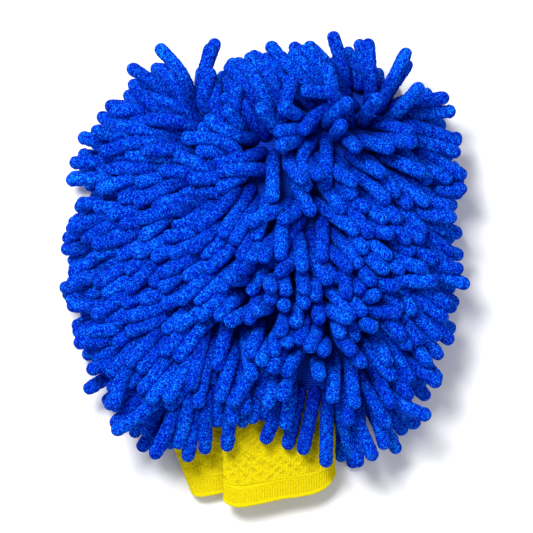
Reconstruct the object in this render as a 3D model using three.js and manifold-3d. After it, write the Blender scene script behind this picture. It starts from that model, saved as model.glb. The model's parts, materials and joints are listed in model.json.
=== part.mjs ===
// Chenille wash mitt: a mitten with a finger lobe and a thumb lobe, covered in rows of
// soft microfibre noodles on both faces and along its edges, with a knitted wrist cuff.
// Millimetres, +Z up. The mitt lies flat: +Y towards the fingertips, thumb towards -X.
// The origin is on the table, under the middle of the whole mitt.
import * as THREE from 'three';
import { mergeVertices } from 'three/addons/utils/BufferGeometryUtils.js';
import Module from 'manifold-3d';

const wasm = await Module();
wasm.setup();

// Overall size, with the pile
const WIDTH = 228;
const LENGTH = 264;
const THICKNESS = 70;
const PILE_BOTTOM_Y = -108;
const PILE_TOP_Y = 135;

// Heights of the layers, from the table up
const BACK_PILE_TOP = 17;
const FABRIC_THICKNESS = 1.6;
const MID_Z = 30;
const FRONT_FABRIC_TOP = 43;

// Fabric bag, without the pile
const FABRIC_HALF_WIDTH = 80;
const FABRIC_TIP_Y = 102;
const FABRIC_HEEL_Y = -80;
const FABRIC_ROUNDNESS = 2.7;
const PILE_ROUNDNESS = 2.7;

// The soft mitt lies a little askew: its outline leans towards +X on the way to the fingertips.
const OFFSET_X = -2;
const LEAN = 0.13;
const LEAN_FROM_Y = 20;

// Fold lines and the split between the lobes
const WRIST_Y = -70;
const KNUCKLE_Y = 40;
const SPLIT_X = -18;
const FINGER_FOLD_ANGLE = 45;
const CUFF_FOLD_ANGLE = 35;
const FOLD_GAP = 0.8;
const FOLD_MARGIN_ANGLE = 1;

// Pile rows
const PALM_ROWS = 7;
const LOBE_ROWS = 4;
const ROW_GAP = 1.0;
const GAP = 0.4;
const EDGE_BREAK_Y = -10;
const HEEL_BREAK_Y = -62;

// Cuff
const CUFF_HALF_WIDTH = 43;
const CUFF_HALF_HEIGHT = 12;
const CUFF_WALL = 2.4;
const CUFF_HEM_Y = -132;
const CUFF_HEM_RISE = 12;
const HEM_BAND = 9;
const SEAM_RING = 3;

const REACH = 400;
const OUTLINE_STEPS = 72;

const COLOURS = {
  chenille: { color: 0x0938bc, roughness: 0.95, metalness: 0 },
  baseKnit: { color: 0x06279c, roughness: 0.9, metalness: 0 },
  seamThread: { color: 0x0a3fc8, roughness: 0.8, metalness: 0 },
  cuffKnit: { color: 0xd3c20a, roughness: 0.9, metalness: 0 },
};

// Solids ---------------------------------------------------------------------------------

function solidFrom(geometry) {
  const bare = geometry.index ? geometry.toNonIndexed() : geometry.clone();
  bare.deleteAttribute('normal');
  bare.deleteAttribute('uv');
  const merged = mergeVertices(bare, 1e-4);
  const vertProperties = new Float32Array(merged.getAttribute('position').array);
  const triVerts = new Uint32Array(merged.getIndex().array);
  return new wasm.Manifold(new wasm.Mesh({ numProp: 3, vertProperties, triVerts }));
}

function geometryFrom(solid) {
  const { vertProperties, triVerts } = solid.getMesh();
  const geometry = new THREE.BufferGeometry();
  geometry.setAttribute('position', new THREE.BufferAttribute(vertProperties, 3));
  geometry.setIndex(new THREE.BufferAttribute(triVerts, 1));
  geometry.computeVertexNormals();
  return geometry;
}

function lean(y) {
  return OFFSET_X + LEAN * Math.max(y - LEAN_FROM_Y, 0);
}

// A superellipse outline: roundness 2 is an ellipse, and higher values square it off.
function superellipse({
  x = 0, y = 0, halfWidth, halfLength, roundness, leans = false, steps = OUTLINE_STEPS,
}) {
  const points = [];
  for (let i = 0; i < steps; i += 1) {
    const angle = (2 * Math.PI * i) / steps;
    const c = Math.cos(angle);
    const s = Math.sin(angle);
    const radius = (Math.abs(c / halfWidth) ** roundness + Math.abs(s / halfLength) ** roundness)
      ** (-1 / roundness);
    const pointY = y + radius * s;
    points.push(new THREE.Vector2(x + radius * c + (leans ? lean(pointY) : 0), pointY));
  }
  return points;
}

function prism(points, low, high) {
  const shape = new THREE.Shape(points);
  const geometry = new THREE.ExtrudeGeometry(shape, { depth: high - low, bevelEnabled: false });
  geometry.translate(0, 0, low);
  return solidFrom(geometry);
}

// A block between two values of X, Y and Z
function block([x0, x1], [y0, y1], [z0, z1]) {
  const geometry = new THREE.BoxGeometry(x1 - x0, y1 - y0, z1 - z0);
  geometry.translate((x0 + x1) / 2, (y0 + y1) / 2, (z0 + z1) / 2);
  return solidFrom(geometry);
}

// Everything on one side of a fold line that runs along X. The side is +1 towards the
// fingertips and -1 towards the cuff. Above the line it leans away by half the fold angle,
// so that the two sides close onto each other when the fold is full.
function sideOfFold(foldY, side, foldAngle, setBack = FOLD_GAP) {
  const tilt = Math.tan(THREE.MathUtils.degToRad(foldAngle / 2 + FOLD_MARGIN_ANGLE));
  const near = foldY + side * setBack;
  const corners = [
    new THREE.Vector2(near, -REACH),
    new THREE.Vector2(near, MID_Z),
    new THREE.Vector2(near + side * (REACH - MID_Z) * tilt, REACH),
    new THREE.Vector2(foldY + side * REACH, REACH),
    new THREE.Vector2(foldY + side * REACH, -REACH),
  ];
  const shape = new THREE.Shape(corners);
  const geometry = new THREE.ExtrudeGeometry(shape, { depth: 2 * REACH, bevelEnabled: false });
  const alongX = new THREE.Matrix4().makeBasis(
    new THREE.Vector3(0, 1, 0),
    new THREE.Vector3(0, 0, 1),
    new THREE.Vector3(1, 0, 0),
  );
  geometry.applyMatrix4(alongX);
  geometry.translate(-REACH, 0, 0);
  return solidFrom(geometry);
}

// Outer surface of the whole pile: a pillow with a superellipse plan, cut flat by the table.
function pillow() {
  const centreY = (PILE_TOP_Y + PILE_BOTTOM_Y) / 2;
  const halfLength = (PILE_TOP_Y - PILE_BOTTOM_Y) / 2;
  const upper = THICKNESS - MID_Z;
  const lower = MID_Z * 1.3;
  const plump = 2.6;
  const levels = 18;
  const profile = [];
  for (let i = 0; i <= levels; i += 1) {
    const angle = -Math.PI / 2 + (Math.PI * i) / levels;
    const radius = Math.abs(Math.cos(angle)) ** (2 / plump);
    const rise = Math.sign(Math.sin(angle)) * Math.abs(Math.sin(angle)) ** (2 / plump);
    const onAxis = i === 0 || i === levels;
    profile.push(new THREE.Vector2(onAxis ? 0 : radius, rise));
  }
  const geometry = new THREE.LatheGeometry(profile, OUTLINE_STEPS);
  geometry.rotateX(Math.PI / 2);
  const position = geometry.getAttribute('position');
  for (let i = 0; i < position.count; i += 1) {
    const x = position.getX(i);
    const y = position.getY(i);
    const radius = Math.hypot(x, y);
    const stretch = radius < 1e-6 ? 0 : radius
      / (Math.abs(x / (WIDTH / 2)) ** PILE_ROUNDNESS + Math.abs(y / halfLength) ** PILE_ROUNDNESS)
      ** (1 / PILE_ROUNDNESS);
    const height = position.getZ(i);
    position.setXYZ(
      i,
      x * stretch + lean(centreY + y * stretch),
      centreY + y * stretch,
      MID_Z + height * (height > 0 ? upper : lower),
    );
  }
  return solidFrom(geometry).intersect(block([-REACH, REACH], [-REACH, REACH], [0, REACH]));
}

// Plan outlines --------------------------------------------------------------------------

function fabricPlan(inset) {
  return prism(superellipse({
    y: (FABRIC_TIP_Y + FABRIC_HEEL_Y) / 2,
    halfWidth: FABRIC_HALF_WIDTH - inset,
    halfLength: (FABRIC_TIP_Y - FABRIC_HEEL_Y) / 2 - inset,
    roundness: FABRIC_ROUNDNESS,
    leans: true,
  }), -REACH, REACH);
}

// A lobe runs from the knuckle line up to its tip, with a rounded end.
const LOBES = {
  finger: { side: 1, inner: -8, outer: 98, tip: 100, tipBreak: 86, edgeTip: LENGTH / 2 },
  thumb: { side: -1, inner: -28, outer: -88, tip: 97, tipBreak: 74, edgeTip: 128 },
};

function lobePlan(lobe, inset) {
  const centre = (lobe.inner + lobe.outer) / 2;
  return prism(superellipse({
    x: centre,
    y: KNUCKLE_Y,
    halfWidth: Math.abs(lobe.outer - lobe.inner) / 2 - inset,
    halfLength: lobe.tip - KNUCKLE_Y - inset,
    roundness: 3,
  }), -REACH, REACH).intersect(fabricPlan(inset));
}

function lobeEdgePlan(lobe) {
  const inner = SPLIT_X + lobe.side * 1.5;
  const outer = lobe.side * (WIDTH / 2 + 4);
  return prism(superellipse({
    x: (inner + outer) / 2,
    y: KNUCKLE_Y,
    halfWidth: Math.abs(outer - inner) / 2,
    halfLength: lobe.edgeTip - KNUCKLE_Y,
    roundness: 4,
  }), -REACH, REACH);
}

// Pieces ---------------------------------------------------------------------------------

const everywhere = [-REACH, REACH];
const FRONT = [FRONT_FABRIC_TOP + GAP, REACH];
const BACK = [-REACH, BACK_PILE_TOP];

// Half of the fabric bag: a flat panel with its rim turned towards the seam at mid height.
function fabricHalf(plan, innerPlan, isFront) {
  const heights = isFront
    ? [MID_Z + 0.9, FRONT_FABRIC_TOP]
    : [BACK_PILE_TOP + GAP, MID_Z - 0.9];
  const hollowHeights = isFront
    ? [-REACH, FRONT_FABRIC_TOP - FABRIC_THICKNESS]
    : [BACK_PILE_TOP + GAP + FABRIC_THICKNESS, REACH];
  const slab = plan.intersect(block(everywhere, everywhere, heights));
  return slab.subtract(innerPlan.intersect(block(everywhere, everywhere, hollowHeights)));
}

function seamStrip(plan, innerPlan) {
  const layer = block(everywhere, everywhere, [MID_Z - 0.5, MID_Z + 0.5]);
  return plan.subtract(innerPlan).intersect(layer);
}

// Rows of pile across a region, from low Y to high Y
function pileRows(region, [lowY, highY], heights, count) {
  const pitch = (highY - lowY) / count;
  const rows = [];
  for (let i = 0; i < count; i += 1) {
    const low = i === 0 ? -REACH : lowY + i * pitch + ROW_GAP / 2;
    const high = i === count - 1 ? REACH : lowY + (i + 1) * pitch - ROW_GAP / 2;
    rows.push(region.intersect(block(everywhere, [low, high], heights)));
  }
  return rows;
}

const group = new THREE.Group();
group.name = 'wash_mitt';

function addPiece(parent, name, solid, look) {
  const mesh = new THREE.Mesh(geometryFrom(solid), new THREE.MeshStandardMaterial(look));
  mesh.name = name;
  parent.add(mesh);
}

function addSection(parent, section) {
  const { name, region, plan, innerPlan, rowSpan, rowCount } = section;
  const overFabric = region.intersect(plan);
  addPiece(parent, `${name}_fabric_front`, fabricHalf(section.fabric, innerPlan, true), COLOURS.baseKnit);
  addPiece(parent, `${name}_fabric_back`, fabricHalf(section.fabric, innerPlan, false), COLOURS.baseKnit);
  pileRows(overFabric, rowSpan, FRONT, rowCount).forEach((row, i) => {
    addPiece(parent, `${name}_pile_front_${i + 1}`, row, COLOURS.chenille);
  });
  pileRows(overFabric, rowSpan, BACK, rowCount).forEach((row, i) => {
    addPiece(parent, `${name}_pile_back_${i + 1}`, row, COLOURS.chenille);
  });
}

const pile = pillow();
const aboveWrist = sideOfFold(WRIST_Y, 1, CUFF_FOLD_ANGLE);
const aboveWristSeam = sideOfFold(WRIST_Y, 1, CUFF_FOLD_ANGLE, FOLD_GAP + SEAM_RING + GAP);
const belowWristSeam = sideOfFold(WRIST_Y, 1, CUFF_FOLD_ANGLE, FOLD_GAP + SEAM_RING);
const belowKnuckles = sideOfFold(KNUCKLE_Y, -1, FINGER_FOLD_ANGLE);
const aboveKnuckles = sideOfFold(KNUCKLE_Y, 1, FINGER_FOLD_ANGLE);

// Palm section, between the wrist and the knuckles
const palm = new THREE.Group();
palm.name = 'palm';
group.add(palm);
const palmSpan = belowKnuckles.intersect(aboveWrist);
const palmFabricSpan = belowKnuckles.intersect(aboveWristSeam);
const palmInner = fabricPlan(FABRIC_THICKNESS);
addSection(palm, {
  name: 'palm',
  region: pile.intersect(palmSpan),
  plan: fabricPlan(0),
  fabric: fabricPlan(0).intersect(palmFabricSpan),
  innerPlan: palmInner,
  rowSpan: [WRIST_Y, KNUCKLE_Y],
  rowCount: PALM_ROWS,
});

const palmSeam = seamStrip(fabricPlan(0), palmInner).intersect(palmFabricSpan);
const palmEdge = pile.subtract(fabricPlan(-GAP)).intersect(belowKnuckles);
const edgeSpans = [
  { label: '1', low: HEEL_BREAK_Y + ROW_GAP / 2, high: EDGE_BREAK_Y - ROW_GAP / 2 },
  { label: '2', low: EDGE_BREAK_Y + ROW_GAP / 2, high: REACH },
];
for (const [label, side] of [['left', -1], ['right', 1]]) {
  const half = [Math.min(0, side * REACH), Math.max(0, side * REACH)];
  addPiece(palm, `palm_seam_${label}`, palmSeam.intersect(block(half, everywhere, everywhere)),
    COLOURS.seamThread);
  for (const { label: number, low, high } of edgeSpans) {
    addPiece(palm, `palm_edge_${label}_${number}`,
      palmEdge.intersect(block(half, [low, high], everywhere)), COLOURS.chenille);
  }
  const besideCuff = CUFF_HALF_WIDTH + 2.5;
  const heel = side > 0 ? [besideCuff, REACH] : [-REACH, -besideCuff];
  addPiece(palm, `heel_edge_${label}`,
    palmEdge.intersect(block(heel, [-REACH, HEEL_BREAK_Y - ROW_GAP / 2], everywhere)),
    COLOURS.chenille);
}

// Finger and thumb lobes
for (const [name, lobe] of Object.entries(LOBES)) {
  const lobeGroup = new THREE.Group();
  lobeGroup.name = name;
  group.add(lobeGroup);
  const plan = lobePlan(lobe, 0);
  const innerPlan = lobePlan(lobe, FABRIC_THICKNESS);
  const outside = pile.intersect(lobeEdgePlan(lobe)).intersect(aboveKnuckles);
  addSection(lobeGroup, {
    name,
    region: outside,
    plan,
    fabric: plan.intersect(aboveKnuckles),
    innerPlan,
    rowSpan: [KNUCKLE_Y, lobe.tip],
    rowCount: LOBE_ROWS,
  });
  addPiece(lobeGroup, `${name}_seam`,
    seamStrip(plan, innerPlan).intersect(aboveKnuckles), COLOURS.seamThread);

  const edge = outside.subtract(lobePlan(lobe, -GAP));
  const centreX = (lobe.inner + lobe.outer) / 2;
  const innerHalf = lobe.side > 0 ? [-REACH, centreX] : [centreX, REACH];
  const outerHalf = lobe.side > 0 ? [centreX, REACH] : [-REACH, centreX];
  const sideSpan = [-REACH, lobe.tipBreak - ROW_GAP / 2];
  const tipSpan = [lobe.tipBreak + ROW_GAP / 2, REACH];
  addPiece(lobeGroup, `${name}_edge_inner`, edge.intersect(block(innerHalf, sideSpan, everywhere)),
    COLOURS.chenille);
  addPiece(lobeGroup, `${name}_edge_outer`, edge.intersect(block(outerHalf, sideSpan, everywhere)),
    COLOURS.chenille);
  addPiece(lobeGroup, `${name}_edge_tip`, edge.intersect(block(everywhere, tipSpan, everywhere)),
    COLOURS.chenille);
}

// Wrist seam and knitted cuff: a flattened tube that slopes from the wrist down to the table.
const cuffDrop = Math.atan((MID_Z - CUFF_HALF_HEIGHT) / (WRIST_Y - CUFF_HEM_Y));

function cuffTube(outset, slope) {
  const outline = superellipse({
    halfWidth: CUFF_HALF_WIDTH + outset,
    halfLength: CUFF_HALF_HEIGHT + outset,
    roundness: 2.6,
    steps: 56,
  });
  const shape = new THREE.Shape(outline);
  const length = 120;
  const start = -20;
  const geometry = new THREE.ExtrudeGeometry(shape, { depth: length, bevelEnabled: false });
  geometry.translate(0, 0, start);
  const alongCuff = new THREE.Matrix4().makeBasis(
    new THREE.Vector3(1, 0, 0),
    new THREE.Vector3(0, -Math.sin(slope), Math.cos(slope)),
    new THREE.Vector3(0, -Math.cos(slope), -Math.sin(slope)),
  );
  geometry.applyMatrix4(alongCuff);
  geometry.translate(0, WRIST_Y, MID_Z);
  return solidFrom(geometry);
}

const seamWall = cuffTube(0, 0).subtract(cuffTube(-CUFF_WALL, 0));
addPiece(palm, 'wrist_seam',
  seamWall.intersect(aboveWrist).subtract(belowWristSeam), COLOURS.seamThread);

const cuff = new THREE.Group();
cuff.name = 'cuff';
group.add(cuff);

// Everything above the hem line, which is lowest at the left of the cuff and rises to the right
function aboveHem(setBack) {
  const low = CUFF_HEM_Y + setBack;
  return prism([
    new THREE.Vector2(-CUFF_HALF_WIDTH, low),
    new THREE.Vector2(CUFF_HALF_WIDTH, low + CUFF_HEM_RISE),
    new THREE.Vector2(REACH, low + CUFF_HEM_RISE),
    new THREE.Vector2(REACH, REACH),
    new THREE.Vector2(-REACH, REACH),
    new THREE.Vector2(-REACH, low),
  ], -REACH, REACH);
}

const cuffWall = cuffTube(0, cuffDrop).subtract(cuffTube(-CUFF_WALL, cuffDrop))
  .intersect(sideOfFold(WRIST_Y, -1, CUFF_FOLD_ANGLE))
  .intersect(block(everywhere, everywhere, [0, REACH]));
addPiece(cuff, 'cuff_knit', cuffWall.intersect(aboveHem(HEM_BAND + GAP)), COLOURS.cuffKnit);
addPiece(cuff, 'cuff_hem', cuffWall.intersect(aboveHem(0)).subtract(aboveHem(HEM_BAND)),
  COLOURS.cuffKnit);

export default group;
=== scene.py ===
"""Chenille wash mitt, lying palm side up on a pale table.

The pile is about 650 separate noodles. Their roots sit in rows on the base cloth, and a seeded bead-chain
simulation lets them settle on the cloth, the table, the cuff and each other.
"""

import json
import math

import bpy
import numpy as np
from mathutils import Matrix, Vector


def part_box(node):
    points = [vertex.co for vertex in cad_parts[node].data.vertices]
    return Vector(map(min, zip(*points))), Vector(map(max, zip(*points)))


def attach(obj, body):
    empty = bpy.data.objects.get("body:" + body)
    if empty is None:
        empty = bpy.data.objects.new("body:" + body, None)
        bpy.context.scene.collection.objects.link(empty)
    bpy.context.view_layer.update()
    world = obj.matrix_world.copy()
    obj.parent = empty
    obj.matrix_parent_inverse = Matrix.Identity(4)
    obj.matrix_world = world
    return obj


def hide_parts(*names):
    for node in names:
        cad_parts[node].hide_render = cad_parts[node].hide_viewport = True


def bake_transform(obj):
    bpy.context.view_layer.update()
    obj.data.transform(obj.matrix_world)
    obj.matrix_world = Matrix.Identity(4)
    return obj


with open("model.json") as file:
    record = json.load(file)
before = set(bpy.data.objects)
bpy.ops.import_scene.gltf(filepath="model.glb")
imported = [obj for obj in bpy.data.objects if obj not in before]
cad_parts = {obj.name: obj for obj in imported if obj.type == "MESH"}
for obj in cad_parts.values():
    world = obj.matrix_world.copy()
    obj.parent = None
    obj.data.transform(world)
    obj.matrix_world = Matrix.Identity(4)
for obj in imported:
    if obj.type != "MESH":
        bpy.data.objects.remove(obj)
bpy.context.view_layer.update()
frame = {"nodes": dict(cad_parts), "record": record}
MM = 0.001

# Frame ------

JOINTS = {joint["name"]: joint for joint in frame["record"]["behaviour"]["joints"]}
KNUCKLE_Y = JOINTS["finger_fold"]["pos_m"][1] / MM
WRIST_Y = JOINTS["cuff_fold"]["pos_m"][1] / MM
MID_Z = JOINTS["finger_fold"]["pos_m"][2] / MM
NODES = list(frame["nodes"])


def box_mm(node):
    low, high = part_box(node)
    return np.array(low) / MM, np.array(high) / MM


# Base cloth, in millimetres ------

CLOTH_HALF_WIDTH = 80.0
CLOTH_FRONT_Z = box_mm("palm_fabric_front")[1][2]
CLOTH_BACK_Z = box_mm("palm_fabric_back")[0][2]
CLOTH_TIP_Y = 105.0
CLOTH_HEEL_Y = -80.0
CLOTH_MIDDLE_Y = (CLOTH_TIP_Y + CLOTH_HEEL_Y) / 2
CLOTH_HALF_LENGTH = (CLOTH_TIP_Y - CLOTH_HEEL_Y) / 2
CLOTH_ROUNDNESS = 2.7
LEAN_AT_HEEL = -2.0
LEAN_PER_MM = 0.13
LEAN_FROM_Y = 20.0
FINGER_SHOULDER = 9.0
SHOULDER_RISE = (45, 90)

# The bag splits into a finger lobe and a thumb lobe above the crotch.
SPLIT_X = -18.0
CROTCH_Y = 54.0
NOTCH_HALF_WIDTH = 7.0
NOTCH_RISE = 30
LOBE_OVERLAP = 3
CROTCH_OVERLAP = 7
CROTCH_ROUNDING = 14
LOBES = {
    "finger": {"inner": -8.0, "outer": 104.0, "tip": box_mm("finger_fabric_front")[1][1] + 3},
    "thumb": {"inner": -28.0, "outer": -88.0, "tip": 97.0},
}
CUFF_HALF_WIDTH = box_mm("cuff_knit")[1][0]


def smooth(value, low, high):
    t = np.clip((value - low) / (high - low), 0, 1)
    return t * t * (3 - 2 * t)


def lean(y):
    """How far the mitt's middle line is to the side at this height up the mitt."""
    return LEAN_AT_HEEL + LEAN_PER_MM * np.maximum(y - LEAN_FROM_Y, 0)


def half_width(y, side):
    """The cloth's half width without its rounded corners; the finger side is broader towards the tip."""
    return CLOTH_HALF_WIDTH + FINGER_SHOULDER * (side > 0) * smooth(y, *SHOULDER_RISE)


def cloth_radius(x, y):
    """0 at the middle of the base cloth and 1 on its outline."""
    aside = x - lean(y)
    across = np.abs(aside / half_width(y, aside)) ** CLOTH_ROUNDNESS
    along = np.abs((y - CLOTH_MIDDLE_Y) / CLOTH_HALF_LENGTH) ** CLOTH_ROUNDNESS
    return (across + along) ** (1 / CLOTH_ROUNDNESS)


def notch_half_width(y):
    """Half the gap between the cloth of the two lobes."""
    return NOTCH_HALF_WIDTH * smooth(y, CROTCH_Y, CROTCH_Y + NOTCH_RISE)


def lobe_widening(y):
    """How far a lobe's cloth reaches past its CAD panel towards the notch, which only opens higher up."""
    return LOBE_OVERLAP + CROTCH_OVERLAP * (1 - smooth(y, CROTCH_Y, CROTCH_Y + NOTCH_RISE))


def cloth_bulge(x, y):
    """How far the bag is filled out, from 1 in the middle to 0 at the seam and in the crotch of the lobes."""
    dome = np.maximum(1 - np.minimum(cloth_radius(x, y), 1) ** 3, 0) ** 0.45
    beside = np.maximum(np.abs(x - SPLIT_X) - notch_half_width(y), 0)
    away = np.hypot(beside, np.maximum(CROTCH_Y + 4 - y, 0))
    return dome * np.sqrt(1 - (1 - np.minimum(away / CROTCH_ROUNDING, 1)) ** 2)


def cloth_front(x, y):
    return MID_Z + (CLOTH_FRONT_Z - MID_Z) * cloth_bulge(x, y)


def cloth_back(x, y):
    return MID_Z - (MID_Z - CLOTH_BACK_Z) * cloth_bulge(x, y)


# The cuff's middle line slopes from the wrist seam down to the table.
CUFF_HEM_Y = box_mm("cuff_hem")[0][1]
CUFF_HEM_Z = 5.0
CUFF_TOP = 11.0
CUFF_BOTTOM = 5.0
CUFF_MIDDLE_X = -5.0
CUFF_TOP_HALF_WIDTH = 46.0


def cuff_base(y):
    t = np.clip((WRIST_Y - y) / (WRIST_Y - CUFF_HEM_Y), 0, 1.2)
    return MID_Z + (CUFF_HEM_Z - MID_Z) * np.sin(np.minimum(t, 1) * math.pi / 2)


# Noodle roots ------

random = np.random.default_rng(21)
NOODLE_LENGTH = 41.0
NOODLE_RADIUS = 3.8
LINE_PITCH = 8.6
ROOT_PITCH = 9.5
BACK_SPACING = 1.25
ROOT_WANDER = (1.3, 1.0)
CLOSER_IN_LOBES = 0.15
CLOSER_AT_PARTING = 0.20
# Root lines end at this share of the way to the cloth's outline, where the edge noodles start.
LINES_END = 0.955
# Upright noodles are shorter by this share, so that the pile stays level.
UPRIGHT_LOSS = 0.14
# The shares of the front's noodles that are left out in the valley and under the fringe.
FEWER_IN_VALLEY = 0.26
FEWER_IN_FRINGE = 0.9

# How the pile lies on the front: place across and up, which way the tips point in degrees from +X, and how
# far they lean from upright.
FLOW = [
    # thumb lobe
    (-57, 100, 163, 72), (-66, 93, 172, 72), (-79, 78, 182, 72), (-93, 56, 186, 74), (-89, 38, 190, 72),
    (-52, 123, 114, 70), (-61, 112, 134, 72), (-39, 121, 80, 70), (-29, 107, 100, 60), (-29, 90, 122, 50),
    (-52, 98, 138, 70), (-46, 106, 112, 66),
    (-43, 83, 160, 58), (-35, 68, 175, 60), (-60, 60, 178, 66), (-20, 76, 125, 50),
    # left side and heel
    (-88, 18, 197, 70), (-103, 5, 195, 72), (-102, -15, 200, 72), (-98, -24, 207, 72), (-85, -43, 212, 72),
    (-98, -57, 202, 76), (-82, -62, 217, 74), (-74, -75, 222, 74), (-58, -87, 234, 74), (-44, -89, 251, 74),
    (-25, -87, 262, 74), (4, -74, 244, 72), (-54, -49, 230, 70), (-43, -54, 243, 70), (-23, -40, 265, 62),
    (-18, -65, 268, 70), (-54, -12, 198, 68), (-66, 7, 203, 66), (-66, 29, 198, 66), (-38, 24, 213, 62),
    (-24, 12, 225, 56), (-38, -8, 215, 58), (-34, -24, 225, 62),
    # middle of the palm, where the tips stand up
    (-6, -2, 250, 34), (8, 8, 268, 30), (24, 6, 272, 32), (36, 2, 288, 34), (3, -16, 255, 14),
    (-8, -24, 250, 16), (8, -30, 275, 12), (0, -38, 262, 14), (22, -14, 274, 30), (26, -34, 278, 32),
    (38, -12, 292, 24), (50, -14, 303, 28), (42, -28, 290, 16), (54, -32, 300, 22), (48, -44, 298, 24),
    (58, 2, 307, 42), (66, -12, 311, 46), (68, -28, 307, 46), (74, -40, 297, 54), (30, -52, 282, 34),
    (52, -60, 297, 38), (10, -52, 262, 32), (46, 38, 305, 34), (62, 32, 312, 34),
    # right side and heel
    (101, 6, -25, 72), (96, -6, -33, 70), (87, -12, -32, 60), (90, -30, -38, 70), (83, -44, -50, 68),
    (79, -57, -52, 68), (78, -71, -59, 70), (69, -87, -67, 72), (62, -93, -80, 72), (48, -90, -88, 72),
    (40, -96, -90, 74), (30, -87, -98, 72), (15, -83, -112, 72), (69, -46, -58, 50), (62, -62, -65, 56),
    # finger lobe
    (44, 125, 140, 66), (24, 122, 150, 68), (17, 110, 152, 66), (-4, 107, 144, 62), (55, 116, 134, 62),
    (67, 121, 114, 66), (76, 115, 80, 66), (84, 109, 28, 68), (92, 103, -8, 70), (96, 94, -5, 70),
    (96, 85, -14, 70), (78, 102, 22, 62), (71, 106, 70, 60), (62, 108, 116, 60), (84, 94, 2, 66),
    (95, 78, -16, 70), (97, 62, -14, 70), (99, 50, -24, 70), (97, 39, -27, 70), (98, 24, -31, 70),
    (79, 64, -14, 62), (73, 49, -34, 62), (60, 38, -45, 58), (51, 43, -55, 56), (43, 57, -62, 44),
    (26, 74, 215, 26), (16, 80, 105, 40), (8, 84, 122, 54), (20, 96, 140, 60), (34, 103, 146, 62),
    (47, 97, 138, 56), (60, 88, 75, 34), (46, 84, 110, 26), (50, 72, 262, 20), (72, 84, 4, 50),
    (64, 70, -30, 36), (38, 70, 250, 16), (34, 80, 120, 26),
    # valley between the fingers and the palm
    (4, 62, 182, 62), (18, 59, -32, 60), (32, 59, -42, 60), (34, 45, -56, 60), (-16, 52, 192, 62),
    (4, 50, 228, 62), (12, 41, 216, 62), (-10, 29, 248, 60), (-34, 32, 202, 62), (-19, 19, 218, 58),
    (-3, 19, 258, 50), (15, 29, 258, 52), (26, 27, 268, 48), (43, 24, -58, 52),
]
FLOW_SPREAD = 10.0
LOOK_AHEAD = 0.45 * NOODLE_LENGTH
ROOT_WEIGHT = 0.6

# The line in the finger lobe where the pile falls both ways over its own roots, and how far that reaches.
PARTING = np.array([(-10.0, 62.0), (60.0, 84.0)])
PARTING_REACH = 12

# The valley between the fingers and the palm.
VALLEY_X = 2
VALLEY_Y = 42
VALLEY_HALF_WIDTH = (30, 44)
VALLEY_HALF_HEIGHT = 16

# Where the fringe takes the place of the regular lines.
FRINGE_X = -4
FRINGE_HALF_WIDTH = (34, 46)
FRINGE_Y = (-57, -53)


def unit(vectors):
    return vectors / np.maximum(np.linalg.norm(vectors, axis=-1, keepdims=True), 1e-9)


def flow_vectors():
    flow = np.array(FLOW, float)
    turn, tilt = np.radians(flow[:, 2]), np.radians(flow[:, 3])
    ways = np.stack([np.cos(turn) * np.sin(tilt), np.sin(turn) * np.sin(tilt), np.cos(tilt)], -1)
    return flow[:, :2], ways


FLOW_PLACES, FLOW_WAYS = flow_vectors()


def flow_at(x, y):
    """The way the pile points at a place on the front. Far entries count a little, to fill the gaps."""
    square = ((FLOW_PLACES - (x, y)) ** 2).sum(1)
    weight = np.exp(-square / (2 * FLOW_SPREAD ** 2)) + 1e-4 / (square + 50)
    return unit(weight @ FLOW_WAYS)


def lie_of_noodle(x, y):
    """How a noodle that is rooted here points: the flow at its root and half way along it."""
    way = at_root = flow_at(x, y)
    for _ in range(2):
        way = flow_at(x + LOOK_AHEAD * way[0], y + LOOK_AHEAD * way[1])
    return unit(ROOT_WEIGHT * at_root + way)


def scattered(way, turn_spread, tilt_spread):
    """The same way, turned and tilted a little at random."""
    turn = math.atan2(way[1], way[0]) + random.normal(0, turn_spread)
    tilt = np.clip(math.acos(np.clip(way[2], -1, 1)) + random.normal(0, tilt_spread), 0.03, 1.5)
    return np.array([math.cos(turn) * math.sin(tilt), math.sin(turn) * math.sin(tilt), math.cos(tilt)])


def section_of(x, y):
    if y < KNUCKLE_Y:
        return "palm"
    return "finger" if x > SPLIT_X else "thumb"


def in_lobe(x, y, lobe, inset):
    half = abs(lobe["outer"] - lobe["inner"]) / 2 - inset
    middle = (lobe["inner"] + lobe["outer"]) / 2
    half += lobe_widening(y)
    reach = lobe["tip"] - KNUCKLE_Y - inset
    return abs((x - middle) / half) ** 3 + abs((y - KNUCKLE_Y) / reach) ** 3 < 1


def nearest_row(x, y, side):
    """The CAD row that a root on this face belongs to."""
    prefix = f"{section_of(x, y)}_pile_{side}_"
    rows = [node for node in NODES if node.startswith(prefix)]
    return min(rows, key=lambda node: abs(sum(box_mm(node)[i][1] for i in (0, 1)) / 2 - y))


def edge_node(x, y, section):
    if section == "palm":
        side = "left" if x < 0 else "right"
        if y < box_mm("palm_edge_left_1")[0][1]:
            return f"heel_edge_{side}"
        return f"palm_edge_{side}_{1 if y < box_mm('palm_edge_left_2')[0][1] else 2}"
    lobe = LOBES[section]
    if y > box_mm(f"{section}_edge_tip")[0][1]:
        return f"{section}_edge_tip"
    return f"{section}_edge_{'inner' if abs(x - lobe['inner']) < abs(x - lobe['outer']) else 'outer'}"


def near_parting(x, y):
    """1 along the parting of the finger lobe, 0 away from it."""
    low, high = PARTING
    along = np.clip((np.array([x, y]) - low) @ (high - low) / ((high - low) @ (high - low)), 0, 1)
    return float(smooth(1 - math.dist((x, y), low + along * (high - low)) / PARTING_REACH, 0, 0.6))


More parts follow.
